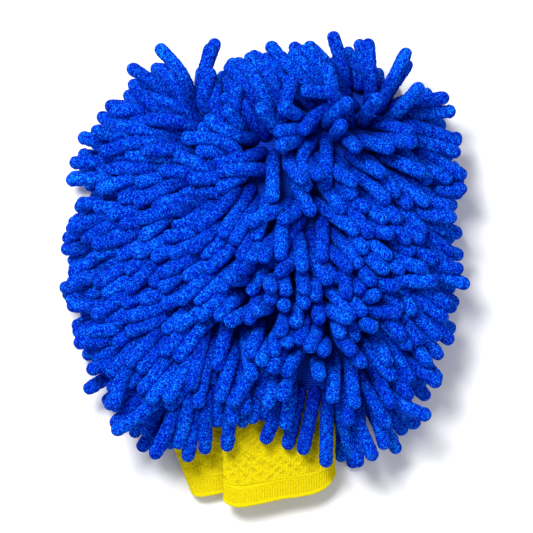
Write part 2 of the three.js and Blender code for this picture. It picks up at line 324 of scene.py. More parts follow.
def in_valley(x, y):
    """1 in the middle of the valley, 0 away from it."""
    across = 1 - smooth(abs(x - VALLEY_X), *VALLEY_HALF_WIDTH)
    return smooth(1 - abs(y - VALLEY_Y) / VALLEY_HALF_HEIGHT, 0, 0.5) * across


def in_fringe(x, y):
    """1 where the fringe takes the place of the regular lines, 0 elsewhere."""
    return (1 - smooth(y, *FRINGE_Y)) * (1 - smooth(abs(x - FRINGE_X), *FRINGE_HALF_WIDTH))


roots = []


def add_root(place, direction, node, face, length, lay=None):
    """A noodle that leaves the cloth in one direction and settles in the direction of the lay."""
    roots.append({
        "at": place, "direction": tuple(direction), "node": node, "face": face,
        "length": length * random.uniform(0.92, 1.08), "lay": tuple(direction if lay is None else lay),
    })


def face_roots(side, line_pitch, root_pitch):
    """Staggered lines of roots over one face of the mitt."""
    facing = 1 if side == "front" else -1
    surface = cloth_front if side == "front" else cloth_back
    line = 0
    y = WRIST_Y + 3
    while y < CLOTH_TIP_Y:
        line += 1
        x = -CLOTH_HALF_WIDTH - 4 + root_pitch * (0.5 if line % 2 else 0)
        while x < CLOTH_HALF_WIDTH + 8:
            px = x + random.uniform(-ROOT_WANDER[0], ROOT_WANDER[0])
            py = y + random.uniform(-ROOT_WANDER[1], ROOT_WANDER[1])
            sparse = random.random()
            parting = near_parting(px, py)
            x += root_pitch * (1 - CLOSER_IN_LOBES * float(smooth(y, 50, 70)) - CLOSER_AT_PARTING * parting)
            if cloth_radius(px, py) > LINES_END:
                continue
            section = section_of(px, py)
            if section != "palm" and not in_lobe(px, py, LOBES[section], 1):
                continue
            valley = in_valley(px, py)
            if side == "front" and sparse < FEWER_IN_VALLEY * valley + FEWER_IN_FRINGE * in_fringe(px, py):
                continue
            turn_spread = 0.13 + 0.35 * valley + 0.6 * parting
            way = scattered(lie_of_noodle(px, py), turn_spread, 0.10 + 0.2 * parting)
            length = NOODLE_LENGTH * (1 - UPRIGHT_LOSS * way[2] ** 3)
            way[2] *= facing
            add_root((px, py, float(surface(px, py))), way, nearest_row(px, py, side), side, length)
        y += line_pitch


OUTLINE_STEPS = 900
RUN_GAP = 20


def palm_outline():
    """The seam of the palm, left and then right, without the stretch where the cuff is sewn on."""
    trace = []
    for side in (-1, 1):
        for angle in np.linspace(-math.pi / 2, math.pi / 2, OUTLINE_STEPS):
            c, s = math.cos(angle), math.sin(angle)
            radius = ((c / CLOTH_HALF_WIDTH) ** CLOTH_ROUNDNESS
                      + (abs(s) / CLOTH_HALF_LENGTH) ** CLOTH_ROUNDNESS) ** (-1 / CLOTH_ROUNDNESS)
            y = CLOTH_MIDDLE_Y + radius * s
            trace.append((radius * side * c + float(lean(y)), y))
    trace = [p for p in trace if WRIST_Y - 3 < p[1] < KNUCKLE_Y - 2]
    return [p for p in trace if abs(p[0]) > CUFF_HALF_WIDTH - 2 or p[1] > WRIST_Y + 6]


def lobe_outline(lobe, centre):
    """The seam of a lobe, found by walking out from its middle until the cloth ends."""
    trace = []
    for angle in np.linspace(0, math.pi, OUTLINE_STEPS):
        reach = 1.0
        while reach < 120:
            x = centre[0] + reach * math.cos(angle)
            y = KNUCKLE_Y + 2 + reach * math.sin(angle)
            if cloth_radius(x, y) > 1 or not in_lobe(x, y, lobe, 0):
                break
            reach += 0.4
        trace.append((x, y))
    return [p for p in trace if p[1] > CROTCH_Y or abs(p[0] - SPLIT_X) > 20]


def outline_points(section, pitch):
    """Points on the seam of one section, spaced by pitch, each with the way out of the mitt."""
    if section == "palm":
        centre = np.array([0, 20.0])
        trace = palm_outline()
    else:
        lobe = LOBES[section]
        centre = np.array([(lobe["inner"] + lobe["outer"]) / 2, KNUCKLE_Y])
        trace = lobe_outline(lobe, centre)
    spaced = []
    for index, point in enumerate(trace):
        new_run = index == 0 or math.dist(point, trace[index - 1]) > RUN_GAP
        if not new_run and math.dist(point, spaced[-1][0]) < pitch:
            continue
        before, after = trace[max(index - 4, 0)], trace[min(index + 4, len(trace) - 1)]
        if math.dist(before, after) > RUN_GAP:
            continue
        tangent = np.array(after) - np.array(before)
        out = unit(np.array([tangent[1], -tangent[0]]))
        if out @ (np.array(point) - centre) < 0:
            out = -out
        spaced.append((point, out))
    return spaced


# Edge noodles: height from the seam's middle, tilt in degrees, and distance from one to the next.
EDGE_TIERS = [(6.0, 38, 9.0), (0.5, 8, 11.0), (-5.5, -16, 12.5)]
# How much a section's edge noodles point outward, how much longer they are, and how close they stand.
EDGE_STYLE = {"palm": (0.6, -0.03, 1), "finger": (0.85, -0.10, 0.78), "thumb": (1.0, 0.08, 0.78)}


def edge_roots():
    """Noodles along the perimeter seam, at three heights."""
    for section, (outward, longer, closer) in EDGE_STYLE.items():
        for rise, tilt_deg, pitch in EDGE_TIERS:
            for (x, y), out in outline_points(section, closer * pitch):
                lay = lie_of_noodle(x + 8 * out[0], y + 8 * out[1])[:2]
                way = unit(outward * out + unit(lay) + random.normal(0, 0.13, 2))
                tilt = math.radians(tilt_deg + random.normal(0, 8))
                direction = (way[0] * math.cos(tilt), way[1] * math.cos(tilt), math.sin(tilt))
                inset = 0.2 * abs(rise)
                place = (x - out[0] * inset, y - out[1] * inset, MID_Z + rise)
                share = 0.87 + longer + 0.17 * float(smooth(-y, 40, 65)) + random.uniform(-0.07, 0.05)
                settled = direction if section == "palm" else (*unit(lay), 0)
                add_root(place, direction, edge_node(x, y, section), "edge", NOODLE_LENGTH * share, settled)


# The last noodles on the front, which hang over the cuff: where each starts, and where its tip lies.
FRINGE = [
    (-37, -69, -49, -105), (-31, -69, -41, -103), (-22, -69, -27, -102), (10, -69, -7, -95),
    (18, -69, 7, -101), (26, -69, 21, -103), (34, -69, 27, -106), (42, -69, 40, -113), (50, -69, 50, -106),
    (-22, -58, -32, -90), (-13, -56, -20, -87), (-5, -55, -12, -86), (4, -56, -2, -86), (13, -57, 8, -88),
]


def heel_roots():
    """The last lines of noodles, along the wrist seam."""
    for x, y, tip_x, tip_y in FRINGE:
        reach = np.array([tip_x - x, tip_y - y])
        length = min(float(np.linalg.norm(reach)) / 0.9, 1.08 * NOODLE_LENGTH)
        way = unit(np.array([*unit(reach), 0.3]))
        z = max(float(cloth_front(x, y)), MID_Z + CUFF_BOTTOM + 1)
        add_root((x, y, z), way, "palm_pile_front_1", "front", length)
    for x in np.arange(-48, 44, 13.0):
        turn = flow_at(x, WRIST_Y - 18)
        way = unit(np.array((turn[0] + random.normal(0, 0.12), turn[1], -random.uniform(0.2, 0.5))))
        place = (x, WRIST_Y + 1 + random.uniform(-0.8, 0.8), MID_Z - CUFF_BOTTOM - 1)
        add_root(place, way, "palm_pile_back_1", "back", NOODLE_LENGTH * random.uniform(0.8, 1.06))


face_roots("front", LINE_PITCH, ROOT_PITCH)
face_roots("back", LINE_PITCH * BACK_SPACING, ROOT_PITCH * BACK_SPACING)
edge_roots()
heel_roots()

# Noodle simulation ------

BEADS = 9
SIM_RADIUS = 3.75
BACK_SIM_RADIUS = 2.95
PILE_TOP = 77.0
STEPS = 170
# The pulls fade over this stretch of the run, so that crowded noodles come off each other.
PULL_FADE = (0.66, 0.92)
LAY_PULL = 0.06
BACK_PULL = 0.16
CURL = 0.046
# How firmly the first beads keep the noodle's direction at its root.
ROOT_HOLD = {1: 0.10, 2: 0.03}
STIFFNESS = 0.25
PUSH = 0.42
PAIRS_EVERY = 8


def pulls(aim, back, lay):
    """What draws each noodle: its weight, the lay of the pile and a curl of its own."""
    flat_aim = aim * (1, 1, 0)
    leaning = np.linalg.norm(flat_aim, axis=1)[:, None, None]
    weight = (0.02 + 0.16 * leaning ** 2) * np.array([0, 0, -1.0])
    pull = lay[:, None] * LAY_PULL + weight
    curl = random.normal(0, CURL, (len(aim), 3))
    pull = pull + curl[:, None]
    return np.where(back[:, None, None], unit(flat_aim)[:, None] * BACK_PULL + np.array([0, 0, 0.02]), pull)


def hold_shape(place, start, aim, link):
    """Keeps each chain's direction at its root, its smooth bend and its length."""
    for bead, hold in ROOT_HOLD.items():
        place[:, bead] += hold * (start + aim * bead * link[:, None] - place[:, bead])
    for b in range(BEADS - 2):
        bend = STIFFNESS * ((place[:, b] + place[:, b + 2]) / 2 - place[:, b + 1])
        place[:, b + 1] += bend
        place[:, b + 2] -= bend / 2
        if b > 0:
            place[:, b] -= bend / 2
    for b in range(BEADS - 1):
        gap = place[:, b + 1] - place[:, b]
        far = np.linalg.norm(gap, axis=1, keepdims=True)
        fix = gap * (far - link[:, None]) / np.maximum(far, 1e-6)
        if b == 0:
            place[:, 1] -= fix
        else:
            place[:, b] += fix / 2
            place[:, b + 1] -= fix / 2


def push_apart(flat, first, second, size):
    """Moves touching beads of different noodles off each other."""
    gap = flat[first] - flat[second]
    far = np.sqrt((gap * gap).sum(1)) + 1e-6
    push = np.maximum(size[first] + size[second] - far, 0)
    hit = push > 0
    move = gap[hit] * (PUSH * push[hit] / far[hit])[:, None]
    for axis in range(3):
        flat[:, axis] += np.bincount(first[hit], move[:, axis], len(flat))
        flat[:, axis] -= np.bincount(second[hit], move[:, axis], len(flat))


def relax(roots):
    """Bead chains that fall onto the cloth, the table, the cuff and each other."""
    start = np.array([root["at"] for root in roots], float)
    aim = unit(np.array([root["direction"] for root in roots], float))
    lay = np.array([root["lay"] for root in roots], float) * (1, 1, 0)
    length = np.array([root["length"] for root in roots])
    face = np.array([root["face"] for root in roots])
    back = face == "back"
    count = len(roots)
    link = (length - NOODLE_RADIUS) / (BEADS - 1)
    place = start[:, None] + aim[:, None] * (np.arange(BEADS) * link[:, None])[:, :, None]
    taper = np.linspace(0.62, 1, BEADS)[None] ** 0.5
    radius = np.where(back, BACK_SIM_RADIUS, SIM_RADIUS)[:, None] * taper
    owner = np.repeat(np.arange(count), BEADS)
    along = np.linspace(0, 1, BEADS)[None, :, None]
    pull = pulls(aim, back, lay)
    first = second = None
    for step in range(STEPS):
        grown = min(1.0, 0.3 + 1.1 * step / STEPS)
        place[:, 1:] += pull * along[:, 1:] * (1 - 0.85 * float(smooth(step / STEPS, *PULL_FADE)))
        for _ in range(3):
            hold_shape(place, start, aim, link)
        flat = place.reshape(-1, 3)
        if step % PAIRS_EVERY == 0:
            first, second = near_pairs(flat, owner, 2 * SIM_RADIUS + 3.0)
        for _ in range(2):
            push_apart(flat, first, second, radius.reshape(-1) * grown)
        place = flat.reshape(count, BEADS, 3)
        place[:, 0] = start
        keep_outside(place, radius * (0.5 + 0.5 * grown), back, face == "edge")
        place[:, 0] = start
    return place


def near_pairs(points, owner, reach):
    """Pairs of beads of different noodles that are close to each other."""
    found = []
    square = (points ** 2).sum(1)
    for low in range(0, len(points), 1500):
        part = slice(low, low + 1500)
        apart = square[part, None] + square[None] - 2 * points[part] @ points.T
        i, j = np.nonzero(apart < reach ** 2)
        i += low
        keep = (i < j) & (owner[i] != owner[j])
        found.append((i[keep], j[keep]))
    return np.concatenate([f[0] for f in found]), np.concatenate([f[1] for f in found])


def keep_outside(place, radius, back, edge):
    """Holds the beads off the bag, the cuff and the table."""
    x, y, z = place[..., 0], place[..., 1], place[..., 2]
    over = cloth_radius(x, y) < 1
    top = cloth_front(x, y) + radius
    bottom = cloth_back(x, y) - radius
    goes_down = back[:, None] | (edge[:, None] & (z < MID_Z))
    z[:] = np.where(over & ~goes_down, np.maximum(z, top), z)
    z[:] = np.where(over & goes_down, np.minimum(z, bottom), z)
    cuff_x = x - CUFF_MIDDLE_X
    over_cuff = (np.abs(cuff_x) < CUFF_TOP_HALF_WIDTH + 2) & (y < WRIST_Y) & (y > CUFF_HEM_Y)
    round_off = np.sqrt(np.maximum(1 - (cuff_x / (CUFF_TOP_HALF_WIDTH + 4)) ** 4, 0))
    cuff_top = cuff_base(y) + (CUFF_TOP * round_off + radius)
    cuff_bottom = cuff_base(y) - (CUFF_BOTTOM * round_off + radius)
    z[:] = np.where(over_cuff & ~back[:, None], np.maximum(z, cuff_top), z)
    z[:] = np.where(over_cuff & back[:, None], np.minimum(z, cuff_bottom), z)
    z[:] = np.clip(z, NOODLE_RADIUS + 0.6, PILE_TOP)


chains = relax(roots)

# Noodle meshes ------

RINGS = 52
SIDES = 24
CAP_RINGS = 5
ROOT_TAPER = [0.55, 0.8, 0.93]
TIP_SHARE = 0.12
LUMP_WAVES = (3.1, 5.3, 8.7)
LUMP_SIZE = 0.022
NAP = 0.13


def make_mesh(name, vertices, quads, triangles=None):
    """A smooth mesh object from arrays of points in millimetres and of corner numbers."""
    triangles = np.zeros((0, 3), int) if triangles is None else triangles
    mesh = bpy.data.meshes.new(name)
    mesh.vertices.add(len(vertices))
    mesh.vertices.foreach_set("co", (np.asarray(vertices) * MM).astype(np.float32).ravel())
    corners = np.concatenate([quads.ravel(), triangles.ravel()])
    mesh.loops.add(len(corners))
    mesh.loops.foreach_set("vertex_index", corners.astype(np.int32))
    sizes = np.concatenate([np.full(len(quads), 4), np.full(len(triangles), 3)])
    mesh.polygons.add(len(sizes))
    mesh.polygons.foreach_set("loop_start", (np.cumsum(sizes) - sizes).astype(np.int32))
    mesh.update(calc_edges=True)
    mesh.shade_smooth()
    mesh.validate()
    piece = bpy.data.objects.new(name, mesh)
    bpy.context.scene.collection.objects.link(piece)
    return piece


def band_faces(index):
    """Quads between the closed rings of a tube, whose point numbers are the rows of index."""
    nexts = np.roll(index, -1, 1)
    return np.stack([index[:-1], nexts[:-1], nexts[1:], index[1:]], -1).reshape(-1, 4)


def tube_faces(rings, sides):
    """Quads and end fans of a tube, whose two end points come after the points of its rings."""
    index = np.arange(rings * sides).reshape(rings, sides)
    first, last = index[0], index[-1]
    fans = np.concatenate([
        np.stack([np.full(sides, index.size), np.roll(first, -1), first], -1),
        np.stack([np.full(sides, index.size + 1), last, np.roll(last, -1)], -1),
    ])
    return band_faces(index), fans


def ring_points(centre, reach, side, other):
    """Points round a centreline, at distances whose last axis goes round."""
    angle = np.linspace(0, 2 * math.pi, reach.shape[-1], endpoint=False)[:, None]
    return centre[..., None, :] + reach[..., None] * (
        side[..., None, :] * np.cos(angle) + other[..., None, :] * np.sin(angle))


def spline(a, b, c, d, f):
    """A Catmull-Rom curve from b to c, at the share f of the way."""
    return 0.5 * (2 * b + (c - a) * f + (2 * a - 5 * b + 4 * c - d) * f ** 2
                  + (3 * b - a - 3 * c + d) * f ** 3)


def resample(chain, count):
    """Smooth centrelines through the beads, evenly sampled."""
    ends = np.concatenate([
        2 * chain[:, :1] - chain[:, 1:2], chain, 2 * chain[:, -1:] - chain[:, -2:-1],
    ], axis=1)
    t = np.linspace(0, chain.shape[1] - 1 - 1e-6, count)
    i = t.astype(int)
    f = (t - i)[None, :, None]
    return spline(*(ends[:, i + k] for k in range(4)), f)


def across_spine(tangent):
    """A direction square to each noodle's spine, carried along it without a twist."""
    side = np.zeros_like(tangent)
    side[:, 0] = unit(np.cross(tangent[:, 0], np.array([0.31, 0.73, 0.61])))
    for ring in range(1, RINGS):
        carried = side[:, ring - 1]
        carried = carried - (carried * tangent[:, ring]).sum(1, keepdims=True) * tangent[:, ring]
        side[:, ring] = unit(carried)
    return side


def fuzz(count, grow):
    """How far each point of the noodles is from its spine, and the grain of the nap."""
    rings = len(grow)
    lump_t = np.linspace(0, 1, rings)
    lumps = np.zeros((count, rings))
    for wave in LUMP_WAVES:
        phase = random.uniform(0, 2 * math.pi, (count, 1))
        lumps += random.normal(0, LUMP_SIZE, (count, 1)) * np.sin(2 * math.pi * wave * lump_t + phase)
    grain = random.normal(0, 1, (count, rings, SIDES))
    grain = 0.8 * grain + 0.1 * (np.roll(grain, 1, 2) + np.roll(grain, -1, 2) + np.roll(grain, 1, 1))
    grain = np.clip(grain, -1.5, 1.9)
    soft = np.clip(grow, 0.3, 1)[None, :, None]
    return NOODLE_RADIUS * grow[None, :, None] * (1 + lumps[..., None]) + NAP * grain * soft, grain


def noodle_mesh(name, chain, shade):
    """One mesh of round, fuzzy, slightly lumpy noodles."""
    count = len(chain)
    spine = resample(chain, RINGS)
    for _ in range(2):
        spine[:, 1:-1] = 0.25 * spine[:, :-2] + 0.5 * spine[:, 1:-1] + 0.25 * spine[:, 2:]
    tangent = unit(np.gradient(spine, axis=1))
    side = across_spine(tangent)
    other = np.cross(tangent, side)

    cap_angle = np.linspace(0, math.pi / 2, CAP_RINGS + 1)[1:]
    tip = spine[:, -1:]
    cap_centre = tip + tangent[:, -1:] * (np.sin(cap_angle) * NOODLE_RADIUS)[None, :, None]
    centre = np.concatenate([spine, cap_centre], axis=1)
    grow = np.concatenate([np.ones(RINGS), np.cos(cap_angle)])
    grow[:len(ROOT_TAPER)] = ROOT_TAPER
    grow[-1] = TIP_SHARE
    rings = len(grow)
    side = np.concatenate([side, np.repeat(side[:, -1:], CAP_RINGS, 1)], axis=1)
    other = np.concatenate([other, np.repeat(other[:, -1:], CAP_RINGS, 1)], axis=1)

    reach, grain = fuzz(count, grow)
    points = ring_points(centre, reach, side, other)
    ends = np.stack([centre[:, 0] - tangent[:, 0] * 0.5, centre[:, -1] + tangent[:, -1] * 0.05], axis=1)
    vertices = np.concatenate([points.reshape(count, -1, 3), ends], axis=1)
    quads, triangles = tube_faces(rings, SIDES)
    per_noodle = vertices.shape[1]
    shift = np.arange(count)[:, None, None] * per_noodle
    quads = (quads[None] + shift).reshape(-1, 4)
    triangles = (triangles[None] + shift).reshape(-1, 3)

    piece = make_mesh(name, vertices.reshape(-1, 3), quads, triangles)
    # The share along each noodle, which the material uses for painted shade towards the root.
    along = np.concatenate([np.repeat(np.linspace(0, 1, rings), SIDES), [0, 1]])
    add_attribute(piece.data, "along", np.tile(along, count))
    add_attribute(piece.data, "shade", np.repeat(shade, per_noodle))
    # The nap's grain, which the material also uses to paint raised points lighter as a painted highlight and
    # low points darker as painted shade.
    raised = np.concatenate([grain.reshape(count, -1), np.zeros((count, 2))], axis=1)
    add_attribute(piece.data, "raised", 0.5 + 0.5 * raised.ravel())
    return piece


def add_attribute(mesh, name, values):
    attribute = mesh.attributes.new(name, "FLOAT", "POINT")
    attribute.data.foreach_set("value", np.asarray(values, np.float32))


# Materials ------


class Nodes:
    """A small helper that builds a Principled material."""

    def __init__(self, name):
        self.material = bpy.data.materials.new(name)
        self.material.use_nodes = True
        self.tree = self.material.node_tree
        self.shader = self.tree.nodes["Principled BSDF"]

    def put(self, value, socket):
        """Sets an input to a constant, or links it where the value is an output of another node."""
        if isinstance(value, bpy.types.NodeSocket):
            self.tree.links.new(value, socket)
        else:
            socket.default_value = value

    def add(self, kind, **values):
        node = self.tree.nodes.new(kind)
        for key, value in values.items():
            if key in node.inputs:
                self.put(value, node.inputs[key])
            else:
                setattr(node, key, value)
        return node

    def set_shader(self, values):
        for key, value in values.items():
            self.put(value, self.shader.inputs[key])

    def attribute(self, name):
        return self.add("ShaderNodeAttribute", attribute_name=name).outputs["Fac"]

    def ramp(self, source, stops):
        node = self.tree.nodes.new("ShaderNodeValToRGB")
        elements = node.color_ramp.elements
        while len(elements) < len(stops):
            elements.new(0.5)
        for element, (position, colour) in zip(elements, stops):
            element.position = position
            element.color = (*colour, 1)
        self.put(source, node.inputs["Fac"])
        return node.outputs["Color"]

    def mix(self, kind, factor, a, b):
        node = self.tree.nodes.new("ShaderNodeMix")
        node.data_type = "RGBA"
        node.blend_type = kind
        for value, number in ((factor, 0), (a, 6), (b, 7)):
            self.put(value, node.inputs[number])
        return node.outputs[2]


def chenille_material():
    build = Nodes("chenille")
    place = build.add("ShaderNodeTexCoord").outputs["Object"]
    tufts = build.add("ShaderNodeTexVoronoi", Vector=place, Scale=1850.0, Randomness=1.0)
    grain = build.add("ShaderNodeTexNoise", Vector=place, Scale=2300.0, Detail=2.0, Roughness=0.6)
    # Speckle of the yarn, with the nap's grain mixed in: raised points are painted lighter as a highlight and
    # low points darker as shade.
    raised = build.attribute("raised")
    fleck = build.mix("MIX", 0.45, tufts.outputs["Color"], grain.outputs["Fac"])
    fleck = build.mix("MIX", 0.10, fleck, raised)
    colour = build.ramp(fleck, [
        (0.26, (0.0004, 0.0008, 0.09)), (0.42, (0.0006, 0.010, 0.43)),
        (0.57, (0.001, 0.055, 0.84)), (0.72, (0.008, 0.29, 1.0)),
    ])
    shade = build.attribute("shade")
    tint = build.ramp(shade, [(0.0, (0.80, 0.66, 0.82)), (1.0, (1.0, 1.25, 1.05))])
    colour = build.mix("MULTIPLY", 1.0, colour, tint)
    # Painted shade: each noodle is darker towards its root, deep in the pile where shade falls between the
    # noodles.
    along = build.attribute("along")
    painted_root_shade = build.ramp(along, [(0.0, (0.16, 0.03, 0.32)), (0.65, (1, 1, 1))])
    colour = build.mix("MULTIPLY", 1.0, colour, painted_root_shade)
    fine = build.add("ShaderNodeTexNoise", Vector=place, Scale=2600.0, Detail=2.0)
    bump = build.add("ShaderNodeBump", Height=fine.outputs["Fac"], Strength=0.8, Distance=0.0004)
    build.set_shader({
        "Base Color": colour, "Normal": bump.outputs["Normal"], "Roughness": 0.95, "Specular IOR Level": 0.02,
        "Sheen Weight": 0.03, "Sheen Roughness": 0.5, "Sheen Tint": (0.02, 0.25, 1.0, 1),
    })
    return build.material


def knit_material(name, dark, light, scale, relief=False, courses=None):
    """Matt knitted yarn. The grooves of a modelled relief are painted darker as shade and its ridges lighter
    as highlight, and flat cloth gets fine courses.
    """
    build = Nodes(name)
    place = build.add("ShaderNodeTexCoord").outputs["Object"]
    height = build.add("ShaderNodeTexNoise", Vector=place, Scale=scale, Detail=3.0).outputs["Fac"]
    if relief:
        # Painted shade and highlight: the modelled relief darkens the colour in its grooves and lightens it
        # on its ridges.
        raised = build.attribute("relief")
        height = build.mix("MIX", 0.30, height, raised)
    if courses:
        wave = build.add("ShaderNodeTexWave", Vector=place, Scale=courses, Distortion=2.5)
        wave.bands_direction = "Y"
        wave.inputs["Detail Scale"].default_value = 3.0
        height = build.mix("MIX", 0.5, height, wave.outputs["Fac"])
    colour = build.ramp(height, [(0.30, dark), (0.62, light)])
    bump = build.add("ShaderNodeBump", Height=height, Strength=0.6, Distance=0.0004)
    build.set_shader({
        "Base Color": colour, "Normal": bump.outputs["Normal"], "Roughness": 0.95, "Specular IOR Level": 0.06,
    })
    return build.material


chenille = chenille_material()
seam_thread = knit_material("seam_thread", (0.002, 0.02, 0.3), (0.004, 0.05, 0.6), 1500.0)
base_knit = knit_material("base_knit", (0.001, 0.012, 0.20), (0.003, 0.05, 0.55), 1200.0, courses=262.0)
cuff_yellow = knit_material("cuff_knit", (0.50, 0.38, 0.003), (0.80, 0.67, 0.003), 1500.0, relief=True)

# Bands at the knuckles and the wrist, and baking the pieces' placement ------

KNUCKLE_BAND = 28.0
WRIST_BAND = (10.0, -22.0)


def follow_fold(piece):
    """Bakes the piece's placement into its mesh; nothing here bends it over the knuckles."""
    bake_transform(piece)


def follow_wrist(piece):
    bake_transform(piece)


# Pile pieces ------

BODY_OF = {node: body for body, nodes in frame["record"]["behaviour"]["bodies"].items() for node in nodes}
groups = {}
for index, root in enumerate(roots):
    node = root["node"]
    bends = BODY_OF[node] == "palm" and box_mm(node)[1][1] > KNUCKLE_Y - KNUCKLE_BAND
    lobe_body = "fingers" if root["at"][0] > SPLIT_X else "thumb"
    part = lobe_body if bends else ""
    groups.setdefault((node, part), []).append(index)

PILE_PIECES = {}
for (node, part), members in sorted(groups.items()):
    name = node.replace("pile", "noodles").replace("edge", "edge_noodles") + (f"_{part}" if part else "")
    piece = noodle_mesh(name, chains[members], random.random(len(members)))
    piece.data.materials.append(chenille)
    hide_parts(node)
    if "_pile_" in node:
        section, face = node.split("_")[0], node.split("_")[2]
        PILE_PIECES.setdefault((section, face), []).append(piece)
    if part or BODY_OF[node] != "palm":
        follow_fold(piece)
    elif chains[members][..., 1].min() < WRIST_Y + WRIST_BAND[0]:
        follow_wrist(piece)
    else:
        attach(piece, "palm")

# Base cloth ------

CLOTH_THICKNESS = 1.0
ROW_STEP = 0.8
STITCH_HEIGHT = 0.16
STITCH_WIDTH = 2.0
STITCH_LENGTH = 1.5


def cloth_span(y, side):
    """Where the cloth on one side of the split starts and ends across X."""
    up = (y - CLOTH_MIDDLE_Y) / CLOTH_HALF_LENGTH
    half = float(half_width(y, side)) * max(1 - abs(up) ** CLOTH_ROUNDNESS, 0) ** (1 / CLOTH_ROUNDNESS)
    inner = SPLIT_X + side * float(notch_half_width(y))
    outer = float(lean(y)) + side * half
    lobe = LOBES["finger" if side > 0 else "thumb"]
    if y > KNUCKLE_Y:
        middle = (lobe["inner"] + lobe["outer"]) / 2
        reach = lobe["tip"] - KNUCKLE_Y
        across = abs(lobe["outer"] - lobe["inner"]) / 2 + float(lobe_widening(y))
        across *= max(1 - ((y - KNUCKLE_Y) / reach) ** 3, 0) ** (1 / 3)
        inner = side * max(side * inner, side * (middle - side * across))
        outer = side * min(side * outer, side * (middle + side * across))
        if side * (outer - inner) < 0:
            inner = outer = (inner + outer) / 2
    return inner, outer


def panel_spans(side, y):
    """The spans of a lobe's panel, or with side 0 of the palm's, which goes right across."""
    if side == 0:
        return [(cloth_span(value, -1)[1], cloth_span(value, 1)[1]) for value in y]
    return [cloth_span(value, side) for value in y]


def knit_height(x, y):
    """Tiny stitch relief of the base cloth."""
    column = x // (STITCH_WIDTH / 2)
    across = np.sin(2 * math.pi * x / STITCH_WIDTH)
    return STITCH_HEIGHT * across * np.sin(2 * math.pi * y / STITCH_LENGTH + math.pi * column)


def cloth_shell(name, facing, side, y_range, columns):
    """One closed, thin panel of the bag, from the split line or the left edge to its outline."""
    rows = int((y_range[1] - y_range[0]) / ROW_STEP)
    y = np.linspace(y_range[0], y_range[1], rows)
    spans = panel_spans(side, y)
    t = 0.5 - 0.5 * np.cos(np.linspace(0, math.pi, columns)) if side == 0 else np.linspace(0, 1, columns)
    x = np.array([[low + (high - low) * f for f in t] for low, high in spans])
    y = np.repeat(y[:, None], columns, 1)
    surface = cloth_front(x, y) if facing > 0 else cloth_back(x, y)
    outer = surface + facing * knit_height(x, y)
    inner = MID_Z + (surface - MID_Z) * 0.94 - facing * CLOTH_THICKNESS * cloth_bulge(x, y)
    return closed_sheet(name, np.stack([x, y, outer], -1), np.stack([x, y, inner], -1), facing)


def closed_sheet(name, outer, inner, facing=1):
    """Two grids of points joined round their border into one closed mesh."""
    rows, columns = outer.shape[:2]
    index = np.arange(rows * columns).reshape(rows, columns)
    quads = np.stack([index[:-1, :-1], index[:-1, 1:], index[1:, 1:], index[1:, :-1]], -1).reshape(-1, 4)
    under = quads[:, ::-1] + rows * columns
    rim = np.concatenate([index[0], index[1:, -1], index[-1, -2::-1], index[-2:0:-1, 0]])
    after = np.roll(rim, -1)
    wall = np.stack([rim, rim + rows * columns, after + rows * columns, after], -1)
    faces = np.concatenate([quads, under, wall])
    if facing < 0:
        faces = faces[:, ::-1]
    return make_mesh(name, np.concatenate([outer.reshape(-1, 3), inner.reshape(-1, 3)]), faces)


def declare_panel(side, y_range):
    """A panel of the bag was cut flat to its outline and lies with its pile on the layer below. This only
    works out the panel's widths along Y, which nothing uses.
    """
    y = np.linspace(*y_range, 200)
    widths = np.array([abs(high - low) for low, high in panel_spans(side, y)])


FOLD_START_Y = KNUCKLE_Y - KNUCKLE_BAND
# The panels of each face: which side of the split, from where to where along Y, and how many columns.
PANELS = {
    "palm": (0, (WRIST_Y, FOLD_START_Y), 190),
    "finger": (1, (FOLD_START_Y, LOBES["finger"]["tip"]), 110),
    "thumb": (-1, (FOLD_START_Y, LOBES["thumb"]["tip"]), 110),
}
for facing, word in ((1, "front"), (-1, "back")):
    cloths = {}
    for section, (side, y_range, columns) in PANELS.items():
        cloth = cloth_shell(f"{section}_cloth_{word}", facing, side, y_range, columns)
        cloth.data.materials.append(base_knit)
        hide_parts(f"{section}_fabric_{word}")
        declare_panel(side, y_range)
        cloths[section] = cloth
    follow_wrist(cloths["palm"])
    follow_fold(cloths["finger"])
    follow_fold(cloths["thumb"])

# Seams ------


CORD_SIDES = 10
WRAPS_PER_MM = 0.8


def cord_mesh(name, path, radius, closed=False):
    """An overlocked seam: a thin cord with a wound thread along a path of points."""
    path = np.asarray(path, float)
    if closed:
        ahead, behind = np.roll(path, -1, 0), np.roll(path, 1, 0)
        tangent = unit(ahead - behind)
    else:
        tangent = unit(np.gradient(path, axis=0))
    up = unit(np.cross(tangent, np.cross(np.array([0, 0, 1.0]), tangent)) + 1e-9)
    aside = np.cross(tangent, up)
    far = np.concatenate([[0], np.cumsum(np.linalg.norm(np.diff(path, axis=0), axis=1))])
    angle = np.linspace(0, 2 * math.pi, CORD_SIDES, endpoint=False)
    wound = 1 + 0.16 * np.sin(2 * math.pi * far[:, None] * WRAPS_PER_MM + angle[None])
    points = ring_points(path, radius * wound, up, aside)
    quads, fans = tube_faces(len(path), CORD_SIDES)
    if closed:
        index = np.arange(wound.size).reshape(wound.shape)
        return make_mesh(name, points.reshape(-1, 3), band_faces(np.vstack([index, index[:1]])))
    ends = np.stack([path[0] - tangent[0] * radius * 0.5, path[-1] + tangent[-1] * radius * 0.5])
    return make_mesh(name, np.concatenate([points.reshape(-1, 3), ends]), quads, fans)


def seam_path(side, low, high):
    """Along the outline of the cloth on one side, between two heights."""
    return [(cloth_span(y, side)[1], y, MID_Z) for y in np.arange(low, high, 0.5)]


def lobe_seam_path(side, tip):
    """From the outline over the tip of a lobe and down its inner edge to the crotch."""
    steep = KNUCKLE_Y + 1 + (tip - KNUCKLE_Y - 1.5) * np.sin(np.linspace(0, math.pi / 2, 150))
    outer = [(cloth_span(y, side)[1], y, MID_Z) for y in steep]
    inner = [(cloth_span(y, side)[0], y, MID_Z) for y in steep[::-1]]
    return outer + inner


